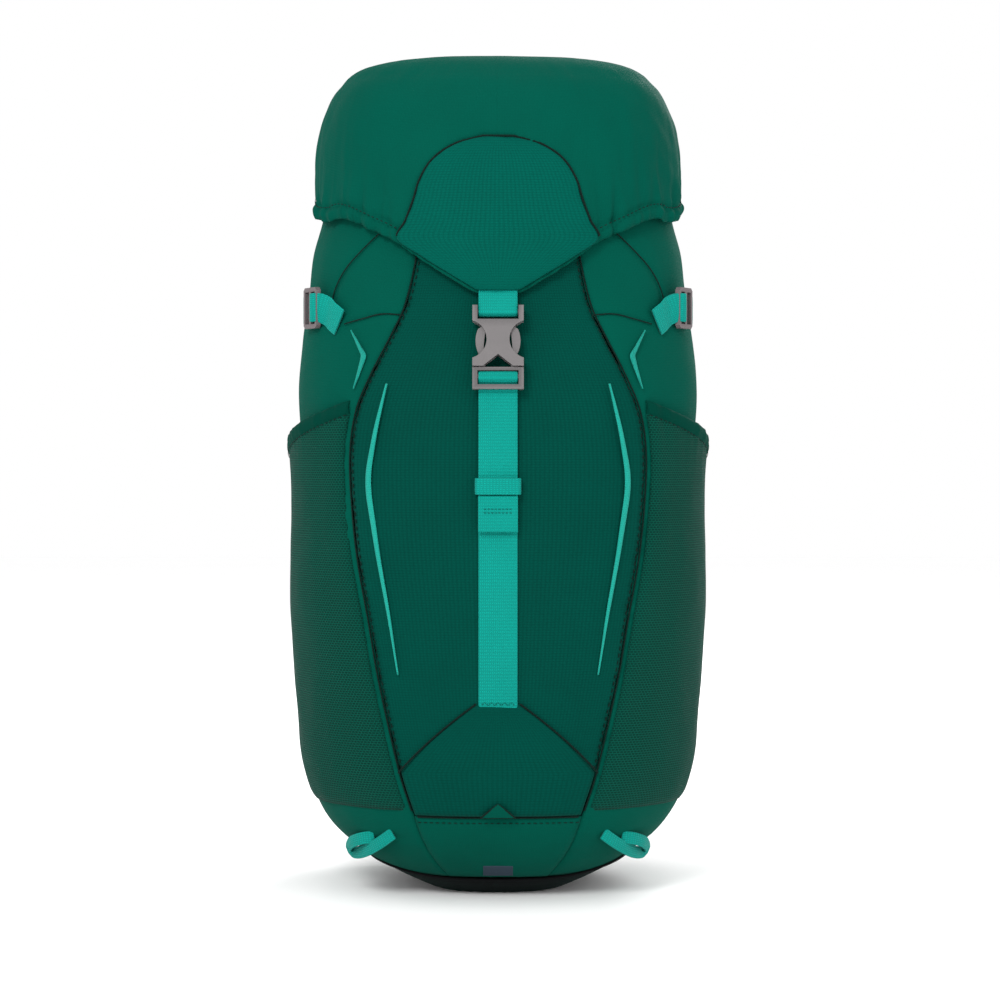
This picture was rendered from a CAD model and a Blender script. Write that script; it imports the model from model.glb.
from math import atan2, copysign, cos, degrees, exp, hypot, pi, radians, sin, sqrt

import bpy
from mathutils import Matrix, Vector, kdtree, noise


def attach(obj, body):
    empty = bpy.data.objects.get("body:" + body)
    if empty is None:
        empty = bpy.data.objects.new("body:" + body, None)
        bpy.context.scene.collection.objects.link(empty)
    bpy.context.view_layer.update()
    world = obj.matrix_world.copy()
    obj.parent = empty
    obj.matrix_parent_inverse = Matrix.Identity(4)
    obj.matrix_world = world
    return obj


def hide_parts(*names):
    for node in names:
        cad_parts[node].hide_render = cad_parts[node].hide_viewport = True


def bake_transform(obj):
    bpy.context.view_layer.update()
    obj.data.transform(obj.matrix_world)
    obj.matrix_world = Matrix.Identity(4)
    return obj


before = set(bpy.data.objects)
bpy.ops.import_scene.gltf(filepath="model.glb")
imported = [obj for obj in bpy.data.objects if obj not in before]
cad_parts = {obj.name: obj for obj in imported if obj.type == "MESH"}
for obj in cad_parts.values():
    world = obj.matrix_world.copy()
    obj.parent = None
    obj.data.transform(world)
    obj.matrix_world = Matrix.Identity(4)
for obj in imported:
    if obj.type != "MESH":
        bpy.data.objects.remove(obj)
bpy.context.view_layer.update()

MM = 0.001
SIDES = (("right", 1), ("left", -1))
ACROSS, UP = Vector((1, 0, 0)), Vector((0, 0, 1))

# ---------------------------------------------------------------- outline, as in the CAD model

HALF_WIDTH, FRONT, BACK = 137.0, 121.0, 88.0
MOUTH, BASE_HIGH, LOWER_SEAM = 498.0, 14.0, 60.0
ROUND_FRONT, ROUND_BACK = 2.5, 5.0
CORNER_RISE, CORNER_POWER = 110.0, 3.0
BASE_HALF_WIDTH, BASE_FRONT = 46.0, 50.0
BAG_WIDTHS = [(110, 0.985), (170, 1.0), (295, 1.0), (345, 1.028), (380, 1.008),
              (414, 0.97), (442, 0.945), (463, 0.905), (477, 0.88), (500, 0.852)]
BAG_FRONTS = [(110, 0.96), (180, 1.0), (260, 0.992), (340, 0.942), (420, 0.851), (500, 0.744)]
BAG_BACKS = [(0, 0.8), (30, 0.94), (60, 0.98), (200, 1.0), (400, 1.0), (500, 0.955)]
SEAM = [(60, 56.6), (90, 66), (151, 80), (191, 87), (232, 94.5), (269, 98.6), (304, 99.8),
        (333, 95.4), (358, 84.6), (384, 71), (402, 62.6), (435, 55), (500, 47)]
LID_WIDTHS = [(412, 139), (440, 134.5), (460, 130), (477, 128.5), (498, 127.5), (519, 126),
              (540, 121), (560, 110.5), (571, 98), (577, 77), (580, 50)]
LID_FRONTS = [(412, 111.5), (440, 108), (466, 105.5), (500, 101), (540, 94), (560, 82),
              (571, 66), (577, 48), (580, 30)]
LID_BACKS = [(412, 86), (505, 86), (520, 85), (535, 81), (550, 73), (562, 62), (572, 45),
             (578, 28), (580, 18)]
LID_PATCH = [(412, 14), (423, 32), (435, 51), (447, 67), (459, 61.6), (474, 56), (487, 52),
             (501, 43), (511, 28), (516, 10)]
# Height of the lid's hem against |x| over the front.
LID_HEM = [(0, 411), (14, 411), (32, 421), (52, 433), (68, 444), (86, 453), (107, 463),
           (122, 462)]
REAR_HEM = 508.0


def along(stations, at):
    if at <= stations[0][0]:
        return stations[0][1]
    if at >= stations[-1][0]:
        return stations[-1][1]
    last = len(stations) - 1
    k = max(i for i in range(last) if stations[i][0] <= at)

    def slope(i):
        before, after = stations[max(i - 1, 0)], stations[min(i + 1, last)]
        return (after[1] - before[1]) / (after[0] - before[0])

    (z0, v0), (z1, v1) = stations[k], stations[k + 1]
    span = z1 - z0
    t = (at - z0) / span
    return ((2 * t**3 - 3 * t**2 + 1) * v0 + (t**3 - 2 * t**2 + t) * span * slope(k)
            + (3 * t**2 - 2 * t**3) * v1 + (t**3 - t**2) * span * slope(k + 1))


def cornered(full, base, at):
    return full - (full - base) * (1 - at / CORNER_RISE) ** CORNER_POWER


def bag_half_width(at):
    if at < CORNER_RISE:
        return cornered(BAG_WIDTHS[0][1] * HALF_WIDTH, BASE_HALF_WIDTH, max(at, 0))
    return along(BAG_WIDTHS, at) * HALF_WIDTH


def bag_front(at):
    if at < CORNER_RISE:
        return cornered(BAG_FRONTS[0][1] * FRONT, BASE_FRONT, max(at, 0))
    return along(BAG_FRONTS, at) * FRONT


def bag_back(at):
    return along(BAG_BACKS, at) * BACK


def ring_point(half_width, front, back, turn, at):
    s, c = sin(radians(turn)), cos(radians(turn))
    depth = front if c > 0 else back
    power = ROUND_FRONT if c > 0 else ROUND_BACK
    reach = ((abs(s) / half_width) ** power + (abs(c) / depth) ** power) ** (-1 / power)
    return Vector((reach * s, -reach * c, at))


def bag_point(turn, at, grow=0.0):
    return ring_point(bag_half_width(at) + grow, bag_front(at) + grow, bag_back(at) + grow,
                      turn, at)


def lid_point(turn, at, grow=0.0):
    return ring_point(along(LID_WIDTHS, at) + grow, along(LID_FRONTS, at) + grow,
                      along(LID_BACKS, at) + grow, turn, at)


def turn_at(x, half_width, depth, power):
    y = depth * (1 - min(abs(x) / half_width, 1) ** power) ** (1 / power)
    return degrees(atan2(x, y))


def bag_turn(x, at):
    return turn_at(x, bag_half_width(at), bag_front(at), ROUND_FRONT)


def lid_turn(x, at):
    return turn_at(x, along(LID_WIDTHS, at), along(LID_FRONTS, at), ROUND_FRONT)


def on_bag(x, at, grow=0.0):
    """Point of the bag's front half at x and a height."""
    return bag_point(bag_turn(x, at), at, grow)


def on_lid(x, at, grow=0.0):
    return lid_point(lid_turn(x, at), at, grow)


def seam_half(at):
    edge = along(SEAM, max(at, LOWER_SEAM))
    return edge * min(1, bag_half_width(at) / bag_half_width(LOWER_SEAM))


def rear_half(at):
    return min(107.0, 0.79 * bag_half_width(at))


def rear_edge(x, at):
    share = min(abs(x) / bag_half_width(at), 1)
    return bag_back(at) * (1 - share ** ROUND_BACK) ** (1 / ROUND_BACK)


def rear_hollow(x, at):
    share = (at - BASE_HIGH) / (MOUTH - BASE_HIGH)
    return 34 * sin(pi * share) * (1 - min(abs(x) / rear_half(at), 1) ** 2)


def rear_turn(at):
    return 180 - turn_at(rear_half(at), bag_half_width(at), bag_back(at), ROUND_BACK)


def pocket_rim(share):
    return 292 + (330 - 292) * (1 - share) ** 2


# ---------------------------------------------------------------- cloth relief

def wave(*place):
    return noise.noise(Vector(place))


def pucker(distance, run, reach=13.0, high=1.0, pitch=8.0):
    """Small folds that run away from a seam: distance from it and run along it, in mm."""
    fold = wave(run / pitch, distance / 45.0, 3.1) + 0.5 * wave(run * 2.3 / pitch, 7.7, 1.3)
    return high * exp(-distance / reach) * fold


def seam_dip(distance, deep=1.7, wide=2.4):
    return -deep * exp(-(distance / wide) ** 2)


def drape(x, y, z, high=1.0, long=70.0):
    """Broad soft folds of loaded cloth."""
    broad = wave(x / long, y / long, z / (long * 1.6))
    fine = wave(x / (long * 0.32) + 5, y / (long * 0.32), z / (long * 0.55) + 2)
    return high * (broad + 0.35 * fine)


FILL_REACH = 70


def swell(near, high):
    """How far the filled front stands out, at a distance inside its seam."""
    return high * sin(pi * min(near / FILL_REACH, 0.5))


def mirrored(spot, way):
    return Vector((spot.x * way, spot.y, spot.z))


# ---------------------------------------------------------------- materials

class Shader:
    """A Principled material under construction."""

    def __init__(self, name, colour, roughness, **sockets):
        self.material = bpy.data.materials.new(name)
        self.material.use_nodes = True
        self.tree = self.material.node_tree
        self.shader = self.tree.nodes["Principled BSDF"]
        self.shader.inputs["Base Color"].default_value = (*colour, 1)
        self.shader.inputs["Roughness"].default_value = roughness
        for name, number in sockets.items():
            self.shader.inputs[name.replace("_", " ")].default_value = number
        self.colour = colour
        self.heights = []

    def node(self, kind, links=(), **values):
        made = self.tree.nodes.new("ShaderNode" + kind)
        for name, number in values.items():
            if name in ("bands_direction", "offset"):
                setattr(made, name, number)
            else:
                made.inputs[name.replace("_", " ")].default_value = number
        for socket, source in links:
            self.tree.links.new(made.inputs[socket], source)
        return made

    def coordinates(self, kind, scale=(1, 1, 1)):
        source = self.node("TexCoord").outputs[kind]
        return self.node("Mapping", [("Vector", source)], Scale=scale).outputs["Vector"]

    def math(self, operation, a, b):
        made = self.tree.nodes.new("ShaderNodeMath")
        made.operation = operation
        for k, value in enumerate((a, b)):
            if isinstance(value, (int, float)):
                made.inputs[k].default_value = value
            else:
                self.tree.links.new(made.inputs[k], value)
        return made.outputs[0]

    def tint(self, factor, low, high):
        """Multiplies the colour so far by low to high as factor goes from 0 to 1."""
        ramp = self.node("MapRange", [("Value", factor)], To_Min=low, To_Max=high)
        socket = self.shader.inputs["Base Color"]
        mix = self.tree.nodes.new("ShaderNodeMix")
        mix.data_type = "RGBA"
        mix.blend_type = "MULTIPLY"
        mix.inputs[0].default_value = 1.0
        if socket.links:
            self.tree.links.new(mix.inputs[6], socket.links[0].from_socket)
        else:
            mix.inputs[6].default_value = (*self.colour, 1)
        self.tree.links.new(mix.inputs[7], ramp.outputs[0])
        self.tree.links.new(socket, mix.outputs[2])

    def blotches(self, scale, low, high):
        pattern = self.node("TexNoise", [("Vector", self.coordinates("Object"))], Scale=scale,
                            Detail=5.0, Roughness=0.6)
        self.tint(pattern.outputs[0], low, high)
        return pattern.outputs[0]

    def rough(self, factor, low, high):
        ramp = self.node("MapRange", [("Value", factor)], To_Min=low, To_Max=high)
        self.tree.links.new(self.shader.inputs["Roughness"], ramp.outputs[0])

    def bump(self, height, strength, distance):
        made = self.tree.nodes.new("ShaderNodeBump")
        made.inputs["Strength"].default_value = strength
        made.inputs["Distance"].default_value = distance
        self.tree.links.new(made.inputs["Height"], height)
        socket = self.shader.inputs["Normal"]
        if socket.links:
            self.tree.links.new(made.inputs["Normal"], socket.links[0].from_socket)
        self.tree.links.new(socket, made.outputs[0])

    def bands(self, vector, direction, pitch):
        """Bands across one axis, one every pitch metres."""
        return self.node("TexWave", [("Vector", vector)], bands_direction=direction,
                         Scale=pi / (10 * pitch)).outputs["Fac"]


def woven(name, colour, pitch=0.0011, dots=0.0, roughness=0.74, sheen=0.02, weave=0.35):
    """Polyester cloth: a fine weave over UV in metres, and a dotted ripstop if dots is set."""
    s = Shader(name, colour, roughness, Sheen_Weight=sheen, Sheen_Roughness=0.45,
               Specular_IOR_Level=0.02)
    s.shader.inputs["Sheen Tint"].default_value = (0.4, 0.95, 0.8, 1)
    uv = s.coordinates("UV")
    warp, weft = s.bands(uv, "X", pitch), s.bands(uv, "Y", pitch)
    cloth = s.math("MULTIPLY", warp, weft)
    s.bump(cloth, weave, 0.00025)
    s.tint(cloth, 0.9, 1.06)
    if dots:
        cells = s.node("TexVoronoi", [("Vector", s.coordinates("UV", (1, 1.7, 1)))],
                       Scale=1 / dots, Randomness=0.12)
        edge = s.math("SUBTRACT", 0.75, cells.outputs["Distance"])
        s.tint(edge, 0.72, 1.22)
        s.bump(edge, 0.5, 0.0005)
    patch = s.blotches(14.0, 0.84, 1.14)
    s.rough(patch, roughness - 0.08, roughness + 0.08)
    return s.material


def knitted(name, colour, width=0.0024, height=0.0016):
    """Open knitted mesh: staggered cells with raised yarn round dark holes."""
    s = Shader(name, colour, 0.8, Sheen_Weight=0.02, Specular_IOR_Level=0.05)
    uv = s.coordinates("UV")
    cells = s.node("TexBrick", [("Vector", uv)], offset=0.5, Scale=1.0, Mortar_Size=0.00032,
                   Mortar_Smooth=0.6, Brick_Width=width, Row_Height=height,
                   Color1=(1, 1, 1, 1), Color2=(0.8, 0.8, 0.8, 1), Mortar=(0, 0, 0, 1))
    s.tint(cells.outputs["Fac"], 0.72, 1.75)
    s.bump(cells.outputs["Fac"], 0.7, 0.0005)
    s.blotches(11.0, 0.82, 1.16)
    return s.material


def webbing(name, colour, pitch=0.0021):
    """Flat woven tape: ribs across its length and fine yarns along it. UV: x across, y along."""
    s = Shader(name, colour, 0.7, Sheen_Weight=0.03, Specular_IOR_Level=0.08)
    uv = s.coordinates("UV")
    ribs = s.bands(uv, "Y", pitch)
    yarns = s.bands(uv, "X", pitch * 0.62)
    cloth = s.math("MULTIPLY", ribs, yarns)
    s.tint(cloth, 0.74, 1.2)
    s.bump(cloth, 0.75, 0.0005)
    s.blotches(30.0, 0.9, 1.1)
    return s.material


def moulded(name, colour, roughness=0.38):
    """Acetal: a faint grain, mottled gloss and paler worn edges."""
    s = Shader(name, colour, roughness, Specular_IOR_Level=0.3)
    grain = s.node("TexNoise", [("Vector", s.coordinates("Object"))], Scale=900.0,
                   Detail=3.0)
    s.bump(grain.outputs[0], 0.12, 0.0002)
    patch = s.blotches(60.0, 0.92, 1.08)
    s.rough(patch, roughness - 0.06, roughness + 0.1)
    edge = s.node("MapRange", [("Value", s.node("NewGeometry").outputs["Pointiness"])],
                  From_Min=0.5, From_Max=0.62, To_Min=0.0, To_Max=1.0)
    s.tint(edge.outputs[0], 1.0, 1.5)
    return s.material


def spacer(name, colour, hole=0.0042, place="UV"):
    """Tensioned 3-D mesh: rows of round holes."""
    s = Shader(name, colour, 0.8, Sheen_Weight=0.02, Specular_IOR_Level=0.05)
    cells = s.node("TexVoronoi", [("Vector", s.coordinates(place))],
                   Scale=1 / hole, Randomness=0.05)
    s.tint(cells.outputs["Distance"], 0.35, 2.2)
    s.bump(cells.outputs["Distance"], 0.9, 0.0012)
    s.blotches(12.0, 0.85, 1.15)
    return s.material


def metal(name, colour, roughness):
    s = Shader(name, colour, roughness, Metallic=1.0)
    lines = s.node("TexNoise", [("Vector", s.coordinates("Object", (400, 400, 20)))],
                   Scale=3.0, Detail=4.0)
    s.bump(lines.outputs[0], 0.15, 0.0002)
    patch = s.blotches(40.0, 0.85, 1.1)
    s.rough(patch, roughness - 0.05, roughness + 0.12)
    return s.material


GREEN = (0.0, 0.069, 0.047)
GREEN_PATCH = (0.0, 0.086, 0.063)
GREEN_DARK = (0.0, 0.040, 0.027)
TEAL = (0.0, 0.275, 0.225)
CLOTH = woven("green_cloth", GREEN)
RIPSTOP = woven("green_ripstop", GREEN_PATCH, dots=0.0030)
FRONT_CLOTH = woven("front_ripstop", (0.0, 0.055, 0.040), dots=0.0030)
KNIT = knitted("pocket_knit", GREEN_DARK)
POCKET_HEM_CLOTH = woven("pocket_hem", GREEN_DARK)
BLACK_CLOTH = woven("black_cloth", (0.007, 0.0065, 0.0075), pitch=0.0016, sheen=0.03)
LINING = woven("lining", (0.05, 0.058, 0.058), pitch=0.0014)
SPACER = spacer("spacer_mesh", (0.013, 0.0145, 0.015))
PAD_CLOTH = spacer("pad_mesh", (0.014, 0.0155, 0.016), hole=0.003, place="Object")
TEAL_WEB = webbing("teal_webbing", TEAL)
DARK_WEB = webbing("dark_webbing", (0.009, 0.0095, 0.010), pitch=0.0018)
TEAL_TRIM = webbing("teal_trim", (0.012, 0.36, 0.285), pitch=0.0012)
THREAD = webbing("green_thread", (0.0, 0.016, 0.011), pitch=0.0008)
TEAL_THREAD = webbing("teal_thread", (0.0, 0.17, 0.14), pitch=0.0008)
GREY = moulded("grey_acetal", (0.088, 0.082, 0.083))
DARK_PLASTIC = moulded("dark_acetal", (0.085, 0.07, 0.073))
BLACK_PLASTIC = moulded("black_acetal", (0.02, 0.02, 0.021))
STEEL = metal("frame_steel", (0.045, 0.045, 0.047), 0.42)
ZIP_METAL = metal("zip_lacquer", (0.06, 0.06, 0.062), 0.38)
CORD = webbing("braided_cord", (0.02, 0.02, 0.02), pitch=0.0014)
TAG = woven("tag_cloth", (0.035, 0.05, 0.07), pitch=0.0008)


# ---------------------------------------------------------------- mesh builders

def added(name, data):
    obj = bpy.data.objects.new(name, data)
    bpy.context.scene.collection.objects.link(obj)
    return obj


def dress(mesh, material):
    mesh.materials.clear()
    mesh.materials.append(material)
    for polygon in mesh.polygons:
        polygon.use_smooth = True


def mesh_object(name, points, faces, material, uvs=None):
    mesh = bpy.data.meshes.new(name)
    mesh.from_pydata([p * MM for p in points], [], faces)
    if uvs:
        layer = mesh.uv_layers.new(name="UVMap")
        for loop in mesh.loops:
            layer.data[loop.index].uv = uvs[loop.vertex_index]
    dress(mesh, material)
    mesh.update()
    return added(name, mesh)


def finish_piece(obj, body, nodes=()):
    if body:
        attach(obj, body)
    if nodes:
        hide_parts(*nodes)
    return obj


def running(path):
    """Distance from the start at each point of a path."""
    lengths = [0.0]
    for a, b in zip(path, path[1:]):
        lengths.append(lengths[-1] + (b - a).length)
    return lengths


def heading(path, k):
    return (path[min(k + 1, len(path) - 1)] - path[max(k - 1, 0)]).normalized()


def quads(strips, columns, ring=False, base=0):
    """Faces between rows of points; ring joins each row's end to its start."""
    faces = []
    for start in range(base, base + strips * columns, columns):
        for i in range(columns if ring else columns - 1):
            a, b = start + i, start + (i + 1) % columns
            faces.append((a, b, b + columns, a + columns))
    return faces


def closed_tube(strips, count, base=0):
    """Faces of a closed tube of rings, with a cap at each end."""
    last = base + strips * count
    return (quads(strips, count, True, base) + [tuple(base + c for c in reversed(range(count)))]
            + [tuple(last + c for c in range(count))])


def thicken(obj, thick):
    solid = obj.modifiers.new("cloth", "SOLIDIFY")
    solid.thickness = thick * MM
    solid.offset = -1


def turned_to(obj, *direction):
    """Turns the sheet over when its faces look away from direction."""
    if sum(p.normal.dot(Vector(direction)) * p.area for p in obj.data.polygons) < 0:
        obj.data.flip_normals()
    return obj


def grid(name, point, nu, nv, material, body, nodes=(), thick=1.4, ring=False):
    """A cloth sheet: point(s, v) is its outer face in mm; ring closes it round s."""
    columns = nu if ring else nu + 1
    rows = [[point(i / nu, j / nv) for i in range(columns)] for j in range(nv + 1)]
    run = running(rows[nv // 2])
    points = [spot for row in rows for spot in row]
    uvs = [(run[i] * MM, spot.z * MM) for row in rows for i, spot in enumerate(row)]
    faces = quads(nv, columns, ring)
    a, b, _, d = (points[k] for k in faces[len(faces) // 2])
    if (b - a).cross(d - a).dot(Vector((a.x, a.y, 0))) < 0:
        faces = [face[::-1] for face in faces]
    obj = mesh_object(name, points, faces, material, uvs)
    thicken(obj, thick)
    return finish_piece(obj, body, nodes)


def tube(name, path, radius, material, body, closed=False):
    """A round cord or piping through points in mm."""
    curve = bpy.data.curves.new(name, "CURVE")
    curve.dimensions = "3D"
    curve.bevel_depth = radius * MM
    curve.bevel_resolution = 3
    spline = curve.splines.new("POLY")
    spline.points.add(len(path) - 1)
    for k, spot in enumerate(path):
        spline.points[k].co = (*(spot * MM), 1)
    spline.use_cyclic_u = closed
    curve.use_fill_caps = True
    source = added(name, curve)
    bpy.context.view_layer.update()
    mesh = bpy.data.meshes.new_from_object(source)
    bpy.data.objects.remove(source)
    dress(mesh, material)
    return finish_piece(added(name, mesh), body)


def stitches(name, path, material, body, dash=2.6, gap=1.5, radius=0.32):
    """A row of stitches along points in mm; each stitch is a small rounded bar."""
    lengths = running(path)

    def at(distance):
        for k in range(1, len(path)):
            if lengths[k] >= distance:
                share = (distance - lengths[k - 1]) / max(lengths[k] - lengths[k - 1], 1e-6)
                return path[k - 1].lerp(path[k], share)
        return path[-1]

    points, faces, uvs = [], [], []
    start = 0.6
    while start + dash < lengths[-1]:
        tip, end = at(start), at(start + dash)
        ahead = (end - tip).normalized()
        across = ahead.cross(UP if abs(ahead.z) < 0.9 else Vector((0, 1, 0)))
        across.normalize()
        up = across.cross(ahead)
        faces += closed_tube(3, 6, len(points))
        for k, size in enumerate((0.45, 1.0, 1.0, 0.45)):
            centre = tip.lerp(end, k / 3)
            for corner in range(6):
                angle = pi * corner / 3
                points.append(centre + (across * cos(angle) + up * sin(angle)) * radius * size)
                uvs.append((corner * 0.0003, (start + k) * MM))
        start += dash + gap
    return finish_piece(mesh_object(name, points, faces, material, uvs), body)


# A tape's section, crowned on its outer face, as shares of its width and thickness.
TAPE_OUTLINE = [(-0.5, 0.0), (-0.487, 0.36), (-0.45, 0.5), (-0.25, 0.575), (0.0, 0.55),
                (0.25, 0.575), (0.45, 0.5), (0.487, 0.36), (0.5, 0.0), (0.487, -0.36),
                (0.45, -0.5), (0.0, -0.5), (-0.45, -0.5), (-0.487, -0.36)]


def tape(name, path, across, width, thick, material, body, nodes=(), samples=160):
    """Woven tape along points in mm, with softly rounded selvedges."""
    curve = smooth_path(path, samples)
    run = running(curve)
    points, uvs = [], []
    for k, spot in enumerate(curve):
        ahead = heading(curve, k)
        side = across(k / samples) if callable(across) else across
        side = (side - ahead * side.dot(ahead)).normalized()
        out = ahead.cross(side)
        for a, b in TAPE_OUTLINE:
            points.append(spot + side * (a * width) + out * (b * thick))
            uvs.append(((a + (0.02 if b < 0 else 0)) * width * MM, run[k] * MM))
    obj = mesh_object(name, points, closed_tube(samples, len(TAPE_OUTLINE)), material, uvs)
    return finish_piece(obj, body, nodes)


def smooth_path(path, samples):
    """Evenly spaced points on a centripetal Catmull-Rom curve through the path."""
    dense = []
    last = len(path) - 1
    for k in range(last):
        p0, p1 = path[max(k - 1, 0)], path[k]
        p2, p3 = path[k + 1], path[min(k + 2, last)]
        t1, t2, t3 = (max((b - a).length ** 0.5, 1e-3) for a, b in ((p0, p1), (p1, p2), (p2, p3)))
        m1 = m2 = p2 - p1
        if k:
            m1 = ((p1 - p0) / t1 - (p2 - p0) / (t1 + t2) + (p2 - p1) / t2) * t2
        if k < last - 1:
            m2 = ((p2 - p1) / t2 - (p3 - p1) / (t2 + t3) + (p3 - p2) / t3) * t2
        for i in range(24):
            t = i / 24
            dense.append(p1 * (2 * t**3 - 3 * t**2 + 1) + m1 * (t**3 - 2 * t**2 + t)
                         + p2 * (3 * t**2 - 2 * t**3) + m2 * (t**3 - t**2))
    dense.append(path[-1])
    lengths = running(dense)
    result, k = [], 0
    for i in range(samples + 1):
        distance = lengths[-1] * i / samples
        while k < len(dense) - 2 and lengths[k + 1] < distance:
            k += 1
        share = (distance - lengths[k]) / max(lengths[k + 1] - lengths[k], 1e-9)
        result.append(dense[k].lerp(dense[k + 1], min(share, 1)))
    return result


def node_material(node, material, bevel=0.0):
    """A CAD node that stays: a better material, and softened edges."""
    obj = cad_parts[node]
    obj.data.materials.clear()
    obj.data.materials.append(material)
    if bevel:
        soft = obj.modifiers.new("edge", "BEVEL")
        soft.width = bevel * MM
        soft.segments = 2
        soft.limit_method = "ANGLE"
        soft.angle_limit = radians(40)


# ---------------------------------------------------------------- bag panels

def front_panel():
    low, high = LOWER_SEAM, MOUTH

    def point(s, v):
        at = low + (high - low) * v
        edge = seam_half(at)
        x = (2 * s - 1) * edge
        near = edge - abs(x)
        fill = swell(near, 2.6) * sin(pi * min(v * 1.6, 1))
        relief = seam_dip(near) + pucker(near, at + (300 if x > 0 else 0), high=0.75, reach=16)
        relief += drape(x, 0, at, 1.1)
        relief += pucker(max(abs(x) - 13, 0), at * 1.1 + 90, reach=10, high=0.35, pitch=14)
        return on_bag(x, at, fill + relief)

    grid("front_panel_cloth", point, 90, 200, FRONT_CLOTH, "bag", ["front_panel"])

    def lower(s, v):
        at = BASE_HIGH + (LOWER_SEAM - BASE_HIGH) * v
        edge = seam_half(at)
        x = (2 * s - 1) * edge
        near = min(edge - abs(x), LOWER_SEAM - at, at - BASE_HIGH)
        relief = seam_dip(near) + pucker(LOWER_SEAM - at, x, high=0.5, reach=9)
        return on_bag(x, at, 0.8 + relief + drape(x, 9, at, 0.7))

    grid("lower_front_cloth", lower, 60, 30, CLOTH, "bag", ["lower_front_panel"])


# Seams that cross the shoulders of the side panels, as (x, z) on the right.
SHOULDER_SEAMS = [
    [(63, 396), (78, 397), (92, 394), (104, 391)],
    [(79, 453), (92, 441), (104, 428), (111, 415), (115, 398)],
]


def side_panels():
    low, high = BASE_HIGH, MOUTH
    for side, way in SIDES:
        seams = [[Vector((x, z)) for x, z in line] for line in SHOULDER_SEAMS]

        def seam_gap(x, z):
            spot, best = Vector((x, z)), 99.0
            for line in seams:
                for a, b in zip(line, line[1:]):
                    share = max(0, min(1, (spot - a).dot(b - a) / (b - a).length_squared))
                    best = min(best, (spot - a.lerp(b, share)).length)
            return best

        def point(s, v, way=way):
            at = low + (high - low) * v
            start = bag_turn(seam_half(at), at)
            turn = start + (rear_turn(at) - start) * s
            flat = bag_point(turn, at)
            near = (turn - start) * 2.2
            rear = (rear_turn(at) - turn) * 2.2
            relief = seam_dip(near) + seam_dip(rear) + seam_dip(at - low, 1.2)
            relief += pucker(near, at + way * 500, high=0.9, reach=14)
            relief += pucker(rear, at + way * 900, high=0.7, reach=14)
            relief += drape(flat.x * way, flat.y, at + way * 31, 1.6, 60)
            if flat.y < 0:
                relief += seam_dip(seam_gap(flat.x, at), 1.3, 1.8)
            return mirrored(bag_point(turn, at, relief), way)

        grid(f"side_cloth_{side}", point, 110, 190, CLOTH, "bag",
             [f"side_panel_{side}"])
        for k, line in enumerate(SHOULDER_SEAMS):
            flat = smooth_path([Vector((x * way, 0, z)) for x, z in line], 40)
            tube(f"shoulder_seam_{side}_{k}", [on_bag(p.x, p.z, 0.1) for p in flat], 0.4,
                 THREAD, "bag")


def base_top(turn):
    """Height of the black base's upper edge, which rises towards the sides."""
    side = sin(radians(turn)) ** 2
    if 90 <= turn <= 270:
        return BASE_HIGH + 9.5 * side
    return BASE_HIGH - 2.5 + 12 * side * side


def back_and_base():
    low, high = BASE_HIGH, MOUTH

    def back(s, v):
        at = low + (high - low) * v
        x = (2 * s - 1) * (rear_half(at) - 0.6)
        near = rear_half(at) - abs(x)
        relief = seam_dip(near, 1.4) + drape(x, 40, at, 0.8)
        return Vector((x, rear_edge(x, at) - rear_hollow(x, at) + relief, at))

    turned_to(grid("back_cloth", back, 60, 120, BLACK_CLOTH, "bag",
                   ["back_panel"]), 0, 1, 0)

    def base(s, v):
        turn = 360 * s
        if v <= 0.4:
            share = v / 0.4
            spot = bag_point(turn, 0.0)
            return Vector((spot.x * share, spot.y * share, 0.0))
        at = base_top(turn) * (v - 0.4) / 0.6
        relief = drape(turn, 4, at, 0.4) * (v - 0.4) + 0.8
        return bag_point(turn, at, relief + seam_dip(base_top(turn) - at, 0.9))

    grid("base_cloth", base, 120, 20, BLACK_CLOTH, "bag", ["base_panel"],
         ring=True)


def seam_lines():
    """Rows of stitches and piping on the seams of the body."""
    for side, way in SIDES:
        heights = [LOWER_SEAM + 4 + (MOUTH - LOWER_SEAM - 40) * k / 90 for k in range(91)]
        path = [on_bag(way * (seam_half(z) - 3.0), z, 0.9) for z in heights]
        stitches(f"lens_stitch_{side}", path, THREAD, "bag", dash=3.0, gap=1.8,
                 radius=0.42)
        path = [on_bag(way * (seam_half(z) + 0.1), z, -0.3) for z in heights]
        tube(f"lens_piping_{side}", path, 0.55, THREAD, "bag")
    across = [-54 + 108 * k / 60 for k in range(61)]
    tube("lower_piping", [on_bag(x, LOWER_SEAM, -0.1) for x in across], 0.8, THREAD, "bag")
    stitches("lower_stitch", [on_bag(x, LOWER_SEAM - 4, 0.9) for x in across], THREAD, "bag")
    path = [bag_point(2.25 * k, base_top(2.25 * k) + 0.2, 0.7) for k in range(160)]
    tube("base_binding", path, 0.9, BLACK_CLOTH, "bag", closed=True)
    for side, way in SIDES:
        heights = [BASE_HIGH + 4 + (MOUTH - BASE_HIGH - 8) * k / 90 for k in range(91)]
        path = [mirrored(bag_point(rear_turn(z), z, 0.6), way) for z in heights]
        tube(f"rear_piping_{side}", path, 1.7, BLACK_CLOTH, "bag")


# Reflective trims of the front, as (x, z, width) on the right.
LONG_TRIM = [(72.5, 350, 1.2), (79.5, 320.5, 2.8), (85.0, 291, 3.9), (85.0, 278, 4.1),
             (78, 234, 3.0), (71.5, 198, 2.2), (65, 156, 0.9)]
CHEVRON = [(97.6, 386.5, 0.5), (92.3, 376, 2.4), (88.8, 369.2, 3.7), (91.2, 360.5, 2.6),
           (95.6, 347, 0.5)]


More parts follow.
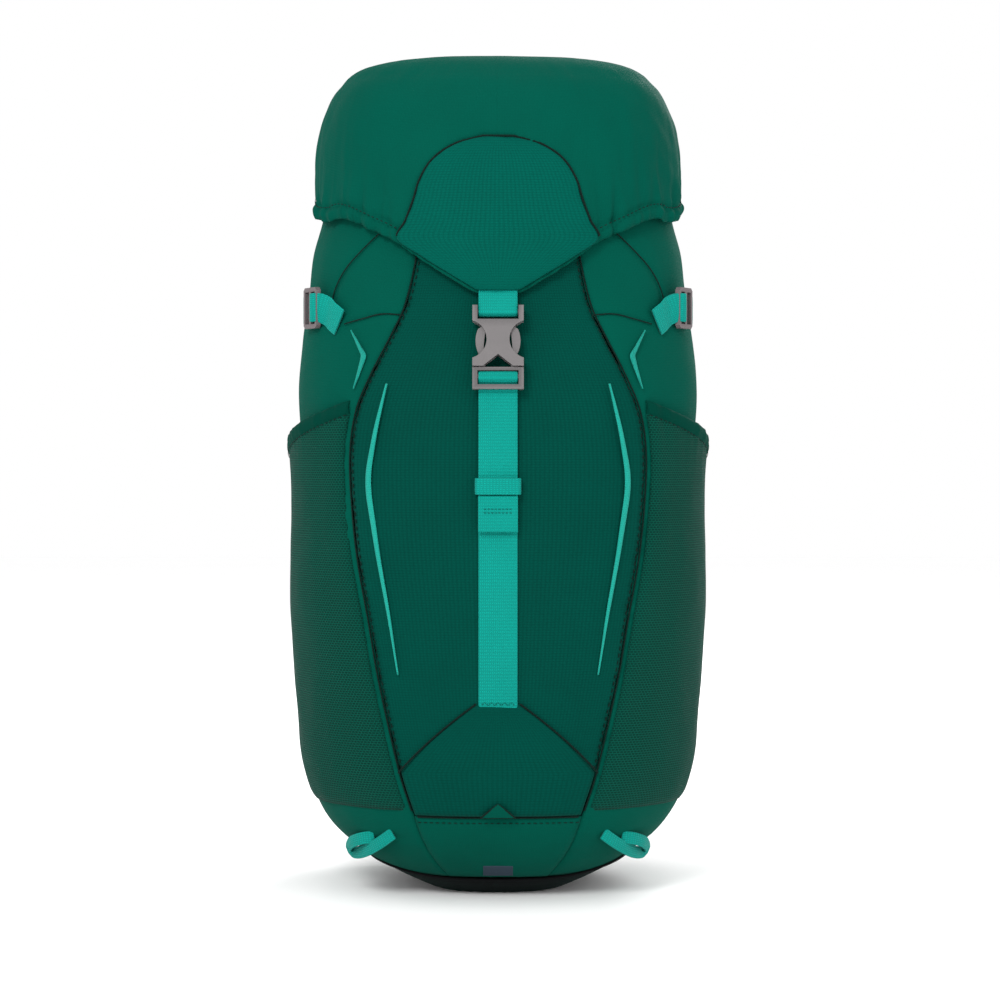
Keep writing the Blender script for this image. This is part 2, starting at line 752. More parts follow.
def bent_line(corners, count):
    """Points along straight runs, with each corner a little rounded."""
    runs = [(b - a).length for a, b in zip(corners, corners[1:])]

    def at(length):
        for k, run in enumerate(runs):
            if length <= run or k == len(runs) - 1:
                return corners[k].lerp(corners[k + 1], max(0, min(length / run, 1)))
            length -= run

    total = sum(runs)
    spots = [at(total * k / count) for k in range(count + 1)]
    for _ in range(6):
        spots = [spots[0]] + [(a + b * 2 + c) / 4 for a, b, c in
                              zip(spots, spots[1:], spots[2:])] + [spots[-1]]
    return spots


TRIM_SECTION = ((-0.5, 1.0), (-0.4, 1.75), (0, 1.95), (0.4, 1.75), (0.5, 1.0))


def trims():
    for name, line in (("long_trim", LONG_TRIM), ("chevron", CHEVRON)):
        for side, way in SIDES:
            spots = bent_line([Vector((x, w, z)) for x, z, w in line], 70)
            points, uvs = [], []
            for k, spot in enumerate(spots):
                for share, lift in TRIM_SECTION:
                    x = spot.x + share * spot.y
                    fill = swell(max(seam_half(spot.z) - x, 0), 2.6)
                    lift += fill if name == "long_trim" else 0.6
                    points.append(mirrored(on_bag(x, spot.z, lift), way))
                    uvs.append((share * spot.y * MM, k * 0.0028))
            obj = mesh_object(f"{name}_{side}", points, quads(len(spots) - 1, 5), TEAL_TRIM, uvs)
            turned_to(obj, 0, -1, 0)
            thicken(obj, 0.7)
            finish_piece(obj, "bag")


def base_patch():
    low, wide, high = LOWER_SEAM + 1, 90, 137

    def half(at):
        edge = along(SEAM, at) - 1.5
        if at > wide:
            edge += (14 - edge) * (at - wide) / (high - wide)
        return edge

    def point(s, v):
        at = low + (high - low) * v
        x = (2 * s - 1) * half(at)
        near = min(half(at) - abs(x), high - at, at - low)
        lift = 2.0 + seam_dip(near, 1.6, 1.6) + drape(x, 2, at, 0.5)
        return on_bag(x, at, lift + swell(max(seam_half(at) - abs(x), 0), 2.2))

    grid("base_patch_cloth", point, 70, 60, FRONT_CLOTH, "bag",
         ["front_base_patch"], thick=1.0)
    for side, way in SIDES:
        heights = [wide + (high - wide) * k / 40 for k in range(41)]
        path = [on_bag(way * (half(z) + 0.3), z, 3.4) for z in heights]
        tube(f"patch_piping_{side}", path, 0.6, THREAD, "bag")


def notch_flap():
    """The little roof-shaped flap where the patch meets the bottom panel."""
    half, foot = 10.5, 60.5

    def point(s, v):
        x = (2 * s - 1) * half
        top = 61.5 + 8.5 * (1 - abs(x) / half)
        at = foot + (top - foot) * v
        fill = swell(seam_half(at) - abs(x), 2.2)
        return on_bag(x, at, 4.3 + fill * 0.9 + 1.4 * v * (1 - abs(x) / half))

    grid("notch_cloth", point, 30, 12, CLOTH, "bag", thick=1.0)
    rim = [(-11, 60.5), (-5.5, 65.6), (0, 70.2), (5.5, 65.6), (11, 60.5)]
    edge = bent_line([Vector((x, 0, z)) for x, z in rim], 60)
    tube("notch_piping", [on_bag(p.x, p.z, 6.6) for p in edge], 0.55, THREAD, "bag")


POCKET_LOW, POCKET_END, POCKET_HEM = 64, 128, 9
HEM_FROM = 0.93


def pocket_dome(s):
    return sin(pi * s) ** 0.7 if 0 < s < 1 else 0.0


def pocket_turn(s, at):
    start = bag_turn(seam_half(at), at) + 1.5
    return start + (POCKET_END - start) * s


def side_pockets():
    columns, rows = 120, 100
    for side, way in SIDES:
        def point(s, v, way=way):
            rim = pocket_rim(s)
            share = min(v / HEM_FROM, 1)
            at = POCKET_LOW + (rim - POCKET_LOW) * share
            turn = pocket_turn(s, at)
            spread = 0.8 + 8 * pocket_dome(s) * (1 - (1 - share) ** 2.5)
            edge, run = min(s, 1 - s) * 200, s * 200
            relief = 0.0
            if v > HEM_FROM:
                lift = (v - HEM_FROM) / 0.07
                at = rim + POCKET_HEM * lift
                relief = 1.1 * sin(pi * lift) + 0.45 * wave(run / 5.5, 3, way * 5)
            relief += pucker((1 - share) * (rim - POCKET_LOW), run + way * 70, high=0.8,
                             reach=15, pitch=7)
            relief += pucker(edge, at, high=0.6, reach=10)
            flat = bag_point(turn, at)
            relief += drape(flat.x, flat.y, at, 1.3, 48) * min(edge / 20, 1)
            lift = (spread + 1.2 + relief + seam_dip(edge, 1.2, 2.5)
                    + seam_dip(share * (rim - POCKET_LOW), 1.2, 2.5))
            return mirrored(bag_point(turn, at, lift), way)

        obj = grid(f"pocket_knit_{side}", point, columns, rows, KNIT, "bag",
                   [f"side_pocket_{side}"], thick=1.0)
        obj.data.materials.append(POCKET_HEM_CLOTH)
        for polygon in obj.data.polygons:
            if polygon.index // columns >= rows * HEM_FROM:
                polygon.material_index = 1
        path = []
        for s in (k / 120 for k in range(121)):
            at = pocket_rim(s) - 0.5
            lift = 2.5 + 8 * pocket_dome(s)
            path.append(mirrored(bag_point(pocket_turn(s, at), at, lift), way))
        stitches(f"pocket_stitch_{side}", path, THREAD, "bag")


# ---------------------------------------------------------------- lid

def lid_hem(turn):
    """Height of the hem round the lid."""
    away = abs((turn + 180) % 360 - 180)
    if away < 62:
        guess = 455.0
        for _ in range(4):
            x = abs(lid_point(away, guess).x)
            guess = along(LID_HEM, x)
        return guess
    front = along(LID_HEM, 122)
    share = min((away - 62) / (180 - 62) * 1.5, 1)
    return front + (REAR_HEM + 1 - front) * (share * share * (3 - 2 * share))


def lid_run(turn):
    """Distance round the lid in mm, about."""
    return turn * 1.95


def patch_edge(x, z):
    """Distance inside the patch's outline; negative outside it."""
    low, (top, half) = LID_PATCH[0][0], LID_PATCH[-1]
    if z < low or z > top:
        return -hypot(min(abs(z - low), abs(z - top)), max(abs(x) - half, 0))
    return min(along(LID_PATCH, z) - abs(x), top - z)


def zip_turn(x, at):
    return 180 - turn_at(x, along(LID_WIDTHS, at), along(LID_BACKS, at), ROUND_BACK)


ZIP_HIGH, CREST_FROM = 524, 0.86


def lid_pieces():
    crest = 580.0

    def point(s, v):
        turn = 360 * s
        hem = lid_hem(turn)
        if v > CREST_FROM:
            share = (v - CREST_FROM) / 0.14
            edge = lid_point(turn, crest)
            x, y = edge.x * (1 - share), edge.y * (1 - share)
            drop = drape(x, y, 580, 0.9, 40)
            return Vector((x, y, crest + 1.2 * sin(pi * share / 2) + drop * (1 - share)))
        share = v / CREST_FROM
        at = hem + (crest - hem) * share
        rise = at - hem
        flat = lid_point(turn, at)
        run = lid_run(turn)
        # the gathered elastic: a puffed band under a stitch line, with folds that fade upwards
        away = abs((turn + 180) % 360 - 180)
        gather = 1.0 if away > 35 else max(0.25, (away - 15) / 20)
        relief = 1.2 * sin(pi * min(rise / 9.0, 1)) * gather
        relief -= 1.1 * exp(-((rise - 10) / 2.2) ** 2) + 2.6 * gather * exp(-rise / 11)
        relief += pucker(max(rise - 9, 0), run, reach=22, high=3.4 * gather, pitch=7.0)
        relief += pucker(max(rise - 9, 0), run + 300, reach=48, high=1.3 * gather, pitch=17)
        ruffle = wave(run / 2.7, 11, rise / 30) + 0.6 * wave(run / 1.5, 4, rise / 20)
        relief += 1.7 * gather * ruffle * min(1.0, exp(-(rise - 8) / 5))
        relief += drape(flat.x, flat.y, at, 2.3, 46)
        lean = wave((run + 1.1 * rise) / 16, (run - 0.5 * rise) / 70, 6)
        relief += 1.3 * gather * lean * exp(-rise / 60)
        roll = (at - 562) / 9
        relief -= 1.0 * exp(-(roll * 2.2) ** 2)
        relief += pucker(abs(at - 562), run + 77, reach=7, high=0.7, pitch=11)
        if flat.y < 0 and abs(flat.x) < 95:
            inside = patch_edge(flat.x, at)
            relief += pucker(abs(inside), run * 1.3, reach=11, high=0.8, pitch=9)
            if inside > -3:
                relief -= 1.5 * min((inside + 3) / 4, 1)
        if flat.y > 0 and abs(flat.x) < 92:
            relief *= 1 - 0.9 * exp(-((at - ZIP_HIGH) / 11) ** 4)
        return lid_point(turn, at, 0.6 + relief)

    grid("lid_cloth", point, 400, 90, CLOTH, "lid", ["lid_shell"], thick=1.6,
         ring=True)

    low, high = LID_PATCH[0][0], LID_PATCH[-1][0]

    def patch(s, v):
        at = low + (high - low) * v
        half = along(LID_PATCH, at)
        x = (2 * s - 1) * half
        near = min(half - abs(x), high - at, (at - low) + 2)
        relief = 0.8 + 1.3 * (1 - exp(-near / 2.2)) + drape(x, 3, at, 0.9, 45)
        relief += pucker(near, at * 1.2 + x, reach=10, high=0.35, pitch=10)
        return on_lid(x, at, relief)

    grid("lid_patch_cloth", patch, 100, 100, RIPSTOP, "lid", ["lid_patch"],
         thick=1.0)

    heights = [449 + (high - 449) * (1 - (1 - k / 60) ** 1.6) for k in range(61)]
    right = [Vector((along(LID_PATCH, z), 0, z)) for z in heights]
    ring = right + [Vector((-p.x, 0, p.z)) for p in reversed(right)]
    ring = [p for k, p in enumerate(ring) if k == 0 or (p - ring[k - 1]).length > 0.4]
    tube("lid_patch_piping", [on_lid(p.x, p.z, 1.1) for p in ring], 0.7, THREAD, "lid")
    path = [lid_point(turn, lid_hem(turn) + 10, 0.5) for turn in range(30, 331)]
    stitches("lid_hem_stitch", path, THREAD, "lid", dash=2.2, gap=1.6,
             radius=0.36)

    def floor(s, v):
        edge = lid_point(360 * s, 526, -4.5)
        x, y = edge.x * (1 - v), edge.y * (1 - v)
        return Vector((x, y, 526.6 + drape(x, y, 0, 0.4, 40)))

    grid("lid_floor_cloth", floor, 120, 24, LINING, "lid", ["lid_floor"],
         thick=0.8, ring=True)

    def zip_tape(s, v):
        at = 517 + 14 * v
        x = (1 - 2 * s) * 84
        middle = exp(-((at - ZIP_HIGH) / 1.6) ** 2)
        return lid_point(zip_turn(x, at), at, 1.7 + 0.9 * middle)

    turned_to(grid("lid_zip_cloth", zip_tape, 80, 20, BLACK_CLOTH, "lid",
                   ["lid_zip_tape"], thick=0.8), 0, 1, 0)
    teeth = []
    for k in range(112):
        x = 83 - 166 * k / 111
        turn = zip_turn(x, ZIP_HIGH)
        teeth.append(lid_point(turn, ZIP_HIGH + (0.5 if k % 2 else -0.5), 2.7))
    tube("lid_zip_coil", teeth, 0.8, BLACK_CLOTH, "lid")


def collar():
    low, top = MOUTH, 521.0

    def point(s, v):
        at = low + (top - low) * v
        inset = -2.6 - 9.6 * v
        turn = 360 * s
        run = turn * 1.8
        relief = 1.5 * wave(run / 9, v * 2, 5) * v + 0.5 * wave(run / 4, 3, 8) * v
        if v > 0.75:
            relief += 0.8 * sin(pi * (v - 0.75) * 4)
        return ring_point(bag_half_width(low) + inset + relief, bag_front(low) + inset + relief,
                          bag_back(low) + inset + relief, turn, at)

    grid("collar_cloth", point, 300, 30, LINING, "bag", ["collar"], thick=1.2,
         ring=True)
    node_material("collar_cord", CORD)


def reservoir_sleeve():
    def point(s, v):
        at = 62 + 270 * v
        x = (2 * s - 1) * 84
        bulge = 0.8
        if 0 < s < 1:
            bulge += 11 * sin(pi * s) ** 0.8 * sin(pi * min(v, 0.75) / 1.5)
        behind = rear_edge(x, at) - rear_hollow(x, at) - 2
        return Vector((x, behind - bulge - 1.2 + drape(x, 8, at, 0.5), at))

    turned_to(grid("sleeve_cloth", point, 60, 80, LINING, "bag",
                   ["reservoir_sleeve"], thick=1.0), 0, -1, 0)

    def yoke(s, v):
        at = 470 + 33 * v
        x = (1 - 2 * s) * 84
        return Vector((x, rear_edge(x, at) + 2.0 + seam_dip(min(33 * v, 33 - 33 * v), 0.8)
                       + drape(x, 12, at, 0.5), at))

    turned_to(grid("lid_yoke_cloth", yoke, 60, 20, CLOTH, "bag", ["lid_yoke"],
                   thick=1.2), 0, 1, 0)

    def tag(s, v):
        at = 15.5 + 8 * v
        x = (2 * s - 1) * 10
        return on_bag(x, at, 1.2 + 0.3 * sin(pi * s))

    grid("tag_cloth", tag, 20, 10, TAG, "bag", ["blank_tag"], thick=0.7)


# ---------------------------------------------------------------- back mesh and shoulder pads

def rounded_outline(half, low, high, corner):
    points = []
    for k, (sx, sz) in enumerate(((1, 1), (-1, 1), (-1, -1), (1, -1))):
        cx = sx * (half - corner)
        cz = (high - corner) if sz > 0 else (low + corner)
        for i in range(13):
            angle = radians(90 * k + 90 * i / 12)
            points.append((cx + corner * cos(angle), cz + corner * sin(angle)))
    return points


def back_mesh():
    half, low, high, y, corner = 107.0, 29.0, 498.0, 95.9, 48
    nx, nz = 70, 150
    points, uvs = [], []
    for j in range(nz + 1):
        z = low + (high - low) * j / nz
        ends = half
        for cz, way in ((high - corner, 1), (low + corner, -1)):
            if (z - cz) * way > 0:
                ends = half - corner + sqrt(max(corner ** 2 - (z - cz) ** 2, 0))
        for i in range(nx + 1):
            x = (2 * i / nx - 1) * ends
            points.append(Vector((x, y + 1.7 + 0.5 * wave(x / 50, z / 60, 3), z)))
            uvs.append((x * MM, z * MM))
    obj = mesh_object("back_mesh_cloth", points, quads(nz, nx + 1), SPACER, uvs)
    thicken(turned_to(obj, 0, 1, 0), 1.4)
    finish_piece(obj, "bag", ["back_mesh"])
    rim = rounded_outline(half - 1.5, low + 1.5, high - 1.5, 46.5)
    tube("mesh_binding", [Vector((x, y + 1.5, z)) for x, z in rim], 2.4, BLACK_CLOTH, "bag",
         closed=True)
    inner = [Vector((x, y + 2.1, z)) for x, z in rounded_outline(half - 7, low + 7, high - 7, 41)]
    stitches("mesh_stitch", inner + inner[:1], DARK_WEB, "bag", radius=0.4)
    node_material("frame_wire", STEEL)


PAD_PATH = [(42, 106.5, 452), (43, 120, 470), (46, 137, 471), (50, 152, 452), (55, 161, 410),
            (62, 163, 352), (73, 158, 290), (86, 148, 230), (94, 137, 180)]
PAD_WIDTHS = [48, 52, 56, 60, 62, 60, 54, 46, 38]
PAD_THICK, PAD_LEAST, PAD_STEPS = 12.0, 2.5, 110


def shoulder_pads():
    count = 40
    for side, way in SIDES:
        spine = smooth_path([Vector((x * way, y, z)) for x, y, z in PAD_PATH], PAD_STEPS)
        run = running(spine)
        points, edges = [], ([], [])
        for k, spot in enumerate(spine):
            ahead = heading(spine, k)
            across = ACROSS - ahead * ahead.x
            across.normalize()
            out = ahead.cross(across)
            share = k / PAD_STEPS * 8
            low = min(int(share), 7)
            width = PAD_WIDTHS[low] + (PAD_WIDTHS[low + 1] - PAD_WIDTHS[low]) * (share - low)
            half = width / 2 - 1.5
            taper = min(1, 0.45 + k / 10, 0.45 + (PAD_STEPS - k) / 10)
            for c in range(count):
                angle = 2 * pi * c / count
                x = copysign(abs(cos(angle)) ** 0.55, cos(angle)) * half
                edge = half - abs(x)
                thick = PAD_THICK / 2 * taper * (1 - exp(-(edge + 0.8) / 4.5))
                thick -= 1.3 * exp(-((abs(x) - half * 0.42) / 1.6) ** 2) * taper
                thick += 0.35 * wave(x / 14, run[k] / 16, way * 9) * taper
                y = copysign(max(thick, PAD_LEAST), sin(angle) or 1)
                points.append(spot + across * x + out * y)
            for e, sign in enumerate((-1, 1)):
                edges[e].append(spot + across * (sign * (half - 0.4)))
        obj = mesh_object(f"pad_cloth_{side}", points, closed_tube(PAD_STEPS, count), PAD_CLOTH)
        outward_check(obj)
        inflate(obj, 2.2)
        channels(obj, spine)
        finish_piece(obj, "harness", [f"shoulder_pad_{side}"])
        loop = edges[0] + [spine[-1]] + edges[1][::-1] + [spine[0]]
        tube(f"pad_binding_{side}", loop, 2.5, BLACK_CLOTH, "harness", closed=True)


def inflate(obj, most):
    """Blows the pad up as cloth under pressure; no point moves further than most mm."""
    scene = bpy.context.scene
    bpy.context.view_layer.objects.active = obj
    obj.select_set(True)
    remesh = obj.modifiers.new("remesh", "REMESH")
    remesh.mode = "VOXEL"
    remesh.voxel_size = 0.0035
    remesh.use_smooth_shade = True
    bpy.ops.object.modifier_apply(modifier="remesh")
    before = [v.co.copy() for v in obj.data.vertices]
    cloth = obj.modifiers.new("cloth", "CLOTH")
    cloth.settings.use_pressure = True
    cloth.settings.uniform_pressure_force = 4.0
    cloth.settings.effector_weights.gravity = 0.0
    cloth.settings.tension_stiffness = 20
    cloth.settings.compression_stiffness = 20
    cloth.settings.quality = 6
    cloth.point_cache.frame_start, cloth.point_cache.frame_end = 1, 20
    for frame_number in range(1, 21):
        scene.frame_set(frame_number)
    bpy.ops.object.modifier_apply(modifier="cloth")
    scene.frame_set(1)
    for vertex, start in zip(obj.data.vertices, before):
        step = vertex.co - start
        if step.length > most * MM:
            vertex.co = start + step * (most * MM / step.length)
    divide = obj.modifiers.new("divide", "SUBSURF")
    divide.levels = divide.render_levels = 1
    bpy.ops.object.modifier_apply(modifier="divide")
    obj.select_set(False)


def channels(obj, spine):
    """Presses two sewn channels along the pad."""
    line = [p * MM for p in spine]
    flat = [heading(line, k) for k in range(len(line))]
    tree = kdtree.KDTree(len(line))
    for k, p in enumerate(line):
        tree.insert(p, k)
    tree.balance()
    for vertex in obj.data.vertices:
        _, k, _ = tree.find(vertex.co)
        across = (ACROSS - flat[k] * flat[k].x).normalized()
        out = flat[k].cross(across)
        away = vertex.co - line[k]
        beside, above = abs(away.dot(across)), away.dot(out)
        dip = 1.9 * exp(-((beside / MM - 12.5) / 1.7) ** 2)
        vertex.co -= out * copysign(min(dip * MM, abs(above) * 0.7), above)
    obj.data.update()


def outward_check(obj):
    """Flips a closed mesh that is inside out."""
    volume = 0.0
    verts = obj.data.vertices
    for polygon in obj.data.polygons:
        ids = polygon.vertices
        for k in range(1, len(ids) - 1):
            a, b, c = verts[ids[0]].co, verts[ids[k]].co, verts[ids[k + 1]].co
            volume += a.dot(b.cross(c))
    if volume < 0:
        obj.data.flip_normals()


# ---------------------------------------------------------------- straps

BUCKLE_AT, BUCKLE_PROUD, PLUG_BAR, SOCKET_BAR = 381.0, 8.0, -27.0, 16.5
BAR_REACH = 1.8 + 0.8 + 0.15
WEB_THICK = 1.6


def with_plug(piece):
    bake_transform(piece)


def front_straps():
    lean = atan2(bag_front(341) - bag_front(421), 80)
    turn = Matrix.Rotation(-lean, 3, "X")
    origin = Vector((0, -(bag_front(BUCKLE_AT) + BUCKLE_PROUD), BUCKLE_AT))

    def local(out, rise):
        return origin + turn @ Vector((0, out, rise))

    bar = local(0, PLUG_BAR)
    low, tail = 0.6 + WEB_THICK / 2, 1.5 + 1.5 * WEB_THICK
    turn_low = bar.z - 26

    def line(at, off):
        swell = 2.4 * sin(pi * min((at - 60) * 1.6 / 438, 1))
        return Vector((0, -(bag_front(at) + off + swell * 0.9), at))

    up = [line(132 + (turn_low - 132) * k / 5, low) for k in range(6)]
    threaded = [(5.6, -10), (4.8, -6), (3.8, -3)]
    threaded += [(BAR_REACH * cos(radians(a)), BAR_REACH * sin(radians(a)))
                 for a in range(0, 181, 30)]
    threaded += [(-2.3, -1.8), (-0.6, -3.4), (1.4, -5.2), (2.6, -8), (3.4, -12)]
    through = [local(out, PLUG_BAR + rise) for out, rise in threaded]
    down = [line(turn_low - (turn_low - 252) * k / 4, tail) for k in range(5)]
    strap = tape("front_webbing", up + through + down, ACROSS, 26, WEB_THICK,
                 TEAL_WEB, None, ["front_strap"], samples=420)
    with_plug(strap)
    fold = tape("front_webbing_end", [line(z, tail + 1.9) for z in (275, 268, 260, 253, 251.4)],
                ACROSS, 26.4, 1.5, TEAL_WEB, None, samples=60)
    with_plug(fold)
    for k, z in enumerate((266.5, 264.0)):
        row = stitches(f"front_webbing_stitch_{k}",
                       [line(z, tail + 3.0) + Vector((x, 0, 0)) for x in range(-10, 11, 2)],
                       TEAL_THREAD, None, dash=1.6, gap=0.8, radius=0.35)
        with_plug(row)
    path = [line(136 + 2.5 * (k % 2), 2.5) + Vector((-11 + k * 2.2, 0, 0)) for k in range(11)]
    stitches("strap_foot_stitch", path, TEAL_THREAD, "bag", dash=1.6, gap=0.6)

    z, tall, deep, half = 281.5, 11, 6.2, 14.2
    y = -(bag_front(z) + 0.5) - 2.4
    section = [(-half, y + 0.6), (-half - 0.6, y - 2), (-half + 0.6, y - deep + 0.7),
               (0, y - deep), (half - 0.6, y - deep + 0.7), (half + 0.6, y - 2), (half, y + 0.6)]
    loop = [Vector((a, b, z)) for a, b in section]
    tape("strap_keeper_band", loop, UP, tall, 1.1, TEAL_WEB, "bag",
         ["strap_keeper"], samples=80)

    top = LID_PATCH[0][0] + 12
    front = -(along(LID_FRONTS, top) - 0.9)
    behind = front + WEB_THICK + 1.4
    bar = local(0, SOCKET_BAR)
    path = [Vector((0, front, top)), Vector((0, front - 1, LID_PATCH[0][0] + 0.5))]
    for degrees in range(180, 361, 30):
        a = radians(degrees)
        path.append(bar + turn @ (Vector((0, cos(a), sin(a))) * BAR_REACH))
    path += [Vector((0, behind - 1, LID_PATCH[0][0] - 0.5)), Vector((0, behind, top - 2))]
    tape("lid_tab_webbing", path, ACROSS, 26, WEB_THICK, TEAL_WEB, "lid",
         ["lid_tab"], samples=160)


def surface_tape(name, spots, tall, nodes, way):
    """Webbing through a ladder lock; spots are turn, height and lift off the bag."""
    path = [mirrored(bag_point(*spot), way) for spot in spots]
    return tape(name, path, UP, tall, WEB_THICK, TEAL_WEB, "bag",
                nodes, samples=160)


def side_straps():
    z = 403
    for side, way in SIDES:
        tab = [(53.2, z - 11, 2.0), (56, z - 7, 2.2), (59, z - 2.5, 2.6), (61.2, z, 5.4),
               (62.3, z, 8.4), (63.1, z, 8.6), (64.0, z, 6.8), (64.5, z, 4.4), (65.3, z, 2.6)]
        surface_tape(f"side_tab_{side}", tab, 19.5, [f"side_strap_anchor_{side}"], way)
        strap = [(65.6, z, 2.6), (67.5, z, 2.1), (70, z, 2.0), (74, z, 2.0)]
        strap += [(80 + 12 * k, z + 1 - 1.8 * k, 2.0) for k in range(5)]
        surface_tape(f"side_webbing_{side}", strap, 19.5, [f"side_strap_{side}"], way)
        node_material(f"side_ladder_lock_{side}", DARK_PLASTIC, 0.8)


def pole_loops():
    flat = [(70, 47), (77, 38), (84, 31), (90, 28.5), (94, 32), (93.5, 37), (89, 41), (83, 43)]
    for side, way in SIDES:
        spots = smooth_path([Vector((x, 0, z)) for x, z in flat], 60)
        path, outs = [], []
        for k, spot in enumerate(spots):
            lift = 1.5 + 9 * sin(pi * k / 60)
            here, deeper = on_bag(spot.x, spot.z, lift), on_bag(spot.x, spot.z, lift + 1)
            path.append(mirrored(here, way))
            outs.append(mirrored(deeper - here, way).normalized())

        def across(share, path=path, outs=outs):
            k = int(round(share * 60))
            ahead = path[min(k + 1, 60)] - path[max(k - 1, 0)]
            return ahead.cross(outs[k])

        tape(f"pole_webbing_{side}", path, across, 8.5, 1.5, TEAL_WEB, "bag",
             [f"pole_loop_{side}"], samples=60)


def harness_webbing():
    for side, way in SIDES:
        path = [Vector((95 * way, 134, 178)), Vector((95.5 * way, 133, 168)),
                Vector((98 * way, 127, 150)), Vector((103 * way, 114, 110)),
                Vector((107 * way, 104, 75)), Vector((109 * way, 98, 56))]
        strap = tape(f"lower_strap_{side}", path, ACROSS, 20, WEB_THICK, DARK_WEB,
                     None, [f"lower_webbing_{side}"], samples=120)
        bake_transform(strap)
    path = [Vector(p) for p in ((-12, 99, 492), (-12, 103.6, 488), (-13, 107, 482),
                                (-11, 113, 471), (0, 116.5, 466), (11, 113, 471),
                                (13, 107, 482), (12, 103.6, 488), (12, 99, 492))]
    tape("haul_webbing", path, Vector((0, 0.83, 0.55)), 11, 2.6, DARK_WEB, "bag",
         ["haul_loop"], samples=120)


def wrapped(bar_x, bar_y, scale, way, tail=15):
    reach = 1.8 * scale + WEB_THICK / 2 + 0.15
    points = []
    for degrees in range(-90, 91, 30):
        a = radians(degrees)
        points.append((bar_x - way * reach * cos(a), bar_y + reach * sin(a)))
    points.append((bar_x + way * tail * 0.5, bar_y + reach * 0.8))
    points.append((bar_x + way * tail, bar_y + reach * 0.45))
    return points


def cross_tape(kind, side, body, spots, z, width, samples):
    return tape(f"{kind}_tape_{side}", [Vector((a, b, z)) for a, b in spots],
                UP, width, WEB_THICK, DARK_WEB, body,
                [f"{kind}_webbing_{side}"], samples=samples)


# Which bar of its buckle each webbing is sewn round: socket on the left, plug on the right.
CROSS_BARS = (("left", -1, SOCKET_BAR), ("right", 1, 27.8))
RAIL_BENDS = ((-46, 2.2), (-39, 0.2), (-20, 0), (20, 0), (39, 0.2), (46, 2.2))


def sternum_straps():
    scale, y, z = 27 / 35, 177.0, 352.0
    rear = y - 1.8 * scale - WEB_THICK / 2 - 0.15
    for side, way, bar in CROSS_BARS:
        bar_x = way * bar * scale
        path = [(way * 54, rear), (way * 38, rear), (bar_x + way * 6, rear)]
        path += wrapped(bar_x, y, scale, way, 11)
        body = "sternum_strap" if side == "left" else None
        strap = cross_tape("sternum", side, body, path, z, 20, 200)
        if side == "right":
            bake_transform(strap)
        rail = [Vector((way * 62, y - 4.2 - dip, z + dz)) for dz, dip in RAIL_BENDS]
        tape(f"sternum_rail_tape_{side}", rail, ACROSS, 8, 1.4, DARK_WEB, "harness",
             [f"sternum_rail_{side}"], samples=60)
        node_material(f"sternum_slider_{side}", BLACK_PLASTIC, 0.5)


def hip_straps():
    y, z = 182.0, 86.0
    rear = y - 1.8 - WEB_THICK / 2 - 0.15
    for side, way, bar in CROSS_BARS:
        bar_x = way * bar
        path = [(way * 68, 102), (way * 72, 105), (way * 85, 116), (way * 88, 142),
                (way * 66, rear - 14), (way * 52, rear - 1.5), (bar_x + way * 7, rear)]
        path += wrapped(bar_x, y, 1.0, way)
        body = "hip_belt" if side == "left" else None
        strap = cross_tape("hip", side, body, path, z, 25, 260)
        if side == "right":
            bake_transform(strap)


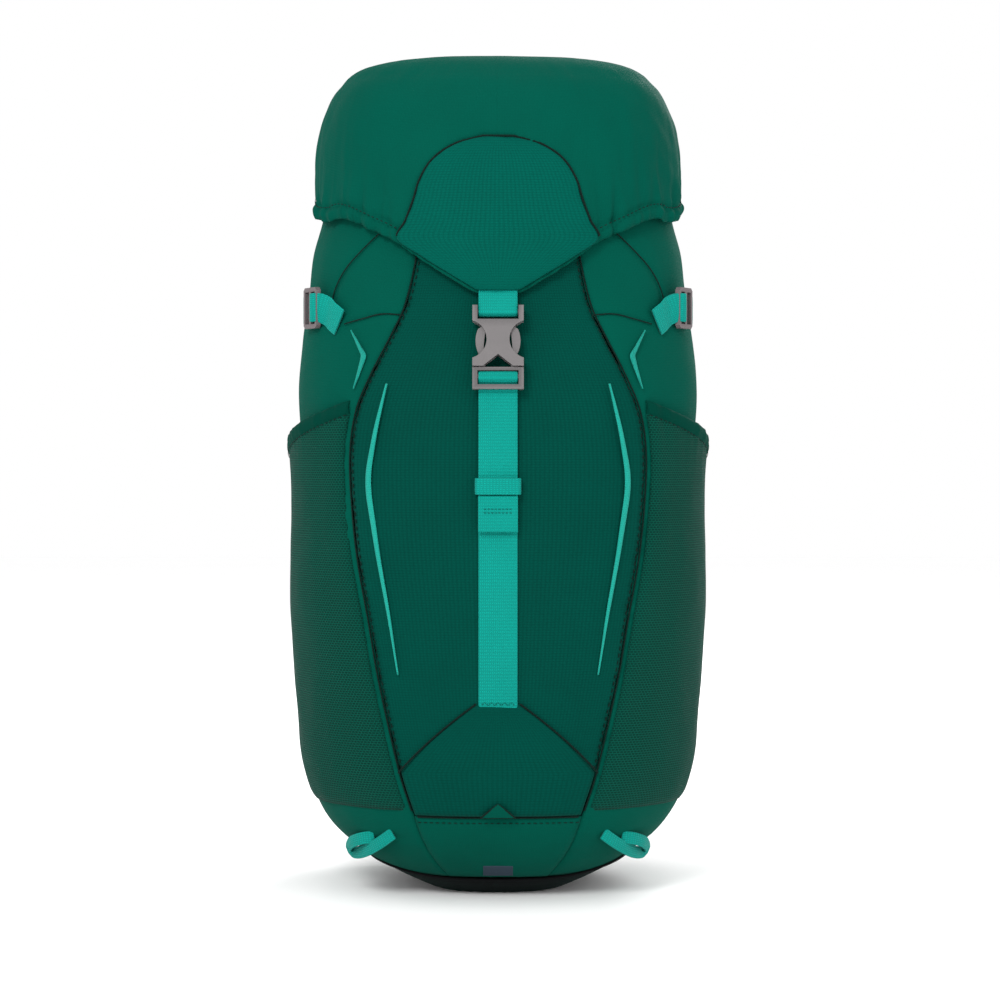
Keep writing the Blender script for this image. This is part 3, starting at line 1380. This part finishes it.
def fittings():
    node_material("front_buckle_socket", GREY, 1.1)
    node_material("front_buckle_plug", GREY, 0.7)
    for prefix in ("front_buckle", "sternum", "hip"):
        plastic = GREY if prefix == "front_buckle" else BLACK_PLASTIC
        for side in ("left", "right"):
            node_material(f"{prefix}_prong_{side}", plastic, 0.5)
    for prefix in ("sternum", "hip"):
        node_material(f"{prefix}_socket", BLACK_PLASTIC, 0.9)
        node_material(f"{prefix}_plug", BLACK_PLASTIC, 0.6)
    node_material("cord_lock_body", BLACK_PLASTIC, 0.4)
    node_material("cord_lock_button", GREY, 0.4)
    node_material("lid_zip_slider", ZIP_METAL, 0.5)
    node_material("lid_zip_pull", TEAL_THREAD, 0.3)


# ---------------------------------------------------------------- stage, light, camera

def stage():
    rows, size = 24, 12.0 / MM
    points = [Vector(((i / rows - 0.5) * size, (j / rows - 0.5) * size, 0))
              for j in range(rows + 1) for i in range(rows + 1)]
    paper = Shader("paper", (0.985, 0.985, 0.985), 0.9, Specular_IOR_Level=0.1)
    paper.blotches(3.0, 0.995, 1.005)
    mesh_object("floor", points, quads(rows, rows + 1), paper.material)


def aimed(obj, place, target):
    obj.location = place
    aim = Vector(target) - Vector(place)
    obj.rotation_euler = aim.to_track_quat("-Z", "Y").to_euler()
    return obj


def lamp(name, place, target, size, power):
    data = bpy.data.lights.new(name, "AREA")
    data.shape = "RECTANGLE"
    data.size, data.size_y = size
    data.energy = power
    aimed(added(name, data), place, target)


def light_and_camera():
    lamp("key", (-0.75, -2.1, 1.7), (0, 0, 0.36), (0.8, 0.8), 36)
    lamp("fill", (1.9, -1.5, 1.0), (0, 0, 0.30), (1.2, 1.2), 6)
    lamp("top", (0, 0.2, 2.4), (0, 0, 0.3), (1.4, 1.4), 5)
    lamp("rear", (0.9, 2.0, 1.5), (0, 0, 0.3), (0.9, 0.9), 30)
    world = bpy.data.worlds.new("studio")
    bpy.context.scene.world = world
    world.use_nodes = True
    background = world.node_tree.nodes["Background"]
    background.inputs["Color"].default_value = (1, 1, 1, 1)
    background.inputs["Strength"].default_value = 1.0
    camera = bpy.data.cameras.new("camera")
    camera.angle = radians(21.9)
    camera.clip_end = 50
    bpy.context.scene.camera = aimed(added("camera", camera), (0, -1.833, 0.30),
                                     (0.0014, 0, 0.2705))
    bpy.context.scene.view_settings.view_transform = "Standard"


front_panel()
side_panels()
back_and_base()
seam_lines()
trims()
base_patch()
notch_flap()
side_pockets()
lid_pieces()
collar()
reservoir_sleeve()
back_mesh()
shoulder_pads()
front_straps()
side_straps()
pole_loops()
harness_webbing()
sternum_straps()
hip_straps()
fittings()
stage()
light_and_camera()
